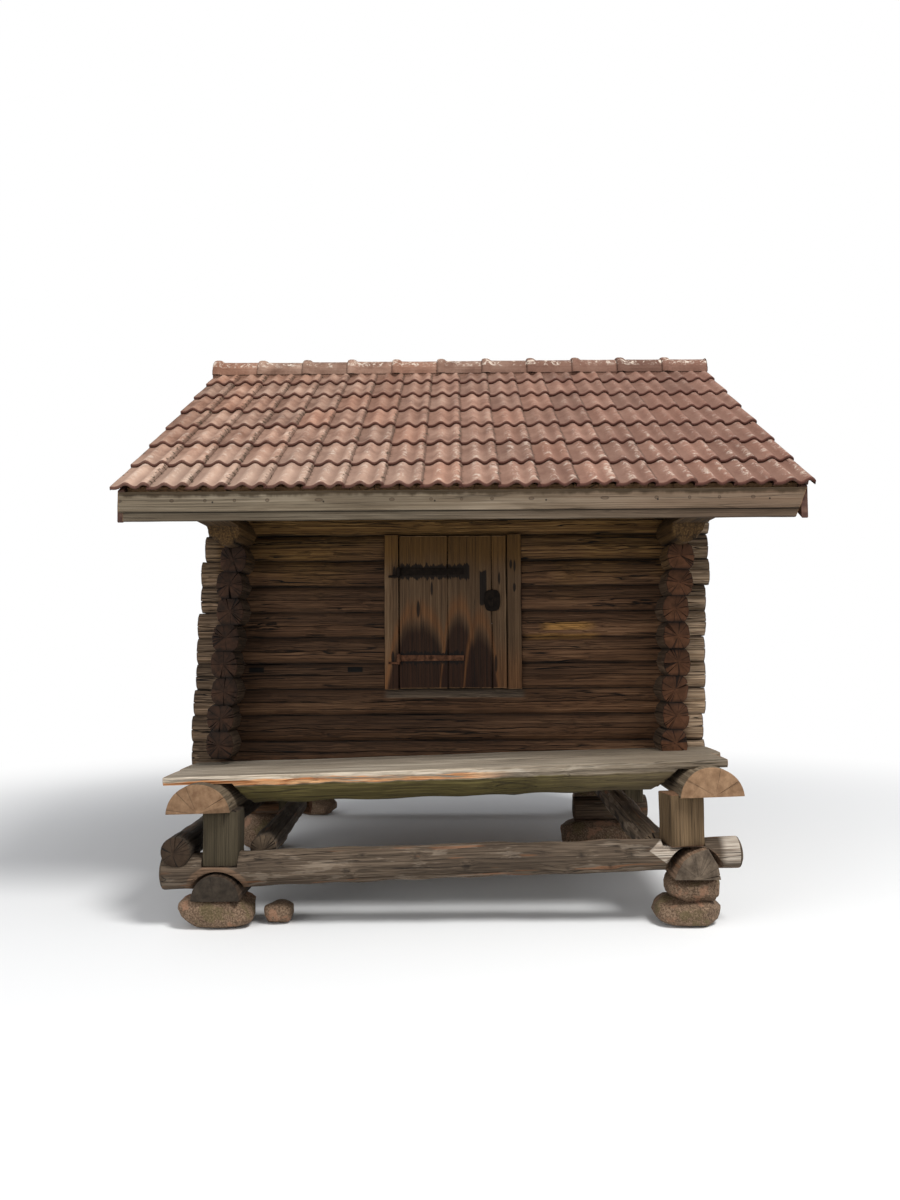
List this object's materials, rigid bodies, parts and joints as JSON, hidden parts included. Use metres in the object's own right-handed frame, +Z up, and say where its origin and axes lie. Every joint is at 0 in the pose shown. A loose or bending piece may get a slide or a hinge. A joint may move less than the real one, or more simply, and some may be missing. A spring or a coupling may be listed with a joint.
{
  "type": "raised log granary",
  "caption": "Small notched-log storehouse raised on posts and ground logs, with a half-log porch, one plank door and a clay-tiled gable roof.",
  "frame": {"origin": "on the ground under the middle of the ridge", "axes": "+X along the eaves to the right seen from the porch, -Y towards the porch, +Z up"},
  "size_m": [3.68, 4.3, 3.6081],
  "materials": {
    "wall_log_wood": "hewn, sun browned, checked",
    "door_wood": "sawn boards, stained dark by rain and iron",
    "ground_log_wood": "barked round log, grey brown",
    "grey_wood": "silver grey, weathered",
    "pale_wood": "sheltered, unpainted",
    "brown_painted_wood": "dark brown paint",
    "clay_tile": "matt fired clay with lichen",
    "field_stone": "rough granite",
    "rusted_iron": "rusted, wrought"
  },
  "bodies": {
    "building": {"back_wall": "wall_log_wood", "barge_boards": "brown_painted_wood", "bearer_left": "grey_wood", "bearer_right": "grey_wood", "door_jambs": "door_wood", "door_pintles": "rusted_iron", "eave_logs": "wall_log_wood", "fascia_back": "grey_wood", "fascia_front": "grey_wood", "floor_boards": "pale_wood", "front_wall_base": "wall_log_wood", "front_wall_head": "wall_log_wood", "front_wall_left": "wall_log_wood", "front_wall_right": "wall_log_wood", "gable_left": "wall_log_wood", "gable_right": "wall_log_wood", "ground_log_back": "ground_log_wood", "ground_log_front": "ground_log_wood", "ground_log_middle": "ground_log_wood", "porch_plank_front": "grey_wood", "porch_plank_rear": "grey_wood", "posts_back": "ground_log_wood", "posts_front": "ground_log_wood", "posts_middle": "ground_log_wood", "purlins": "pale_wood", "ridge_beam": "pale_wood", "ridge_tiles": "clay_tile", "roof_boards_back": "pale_wood", "roof_boards_front": "pale_wood", "roof_tiles_back": "clay_tile", "roof_tiles_front": "clay_tile", "side_wall_left": "wall_log_wood", "side_wall_right": "wall_log_wood", "sleepers_front": "ground_log_wood", "stones_back": "field_stone", "stones_front": "field_stone", "stones_middle": "field_stone", "tie_log_outer": "ground_log_wood", "tie_logs_inner": "ground_log_wood"},
    "door": {"door_leaf": "door_wood", "door_straps": "rusted_iron", "door_lock_plate": "rusted_iron"}
  },
  "joints": [
    {"name": "door_hinge", "type": "hinge", "parent": "building", "child": "door", "pos_m": [-0.3785, -1.357, 1.6], "axis": [0, 0, -1], "range_deg": [0, 165]}
  ]
}
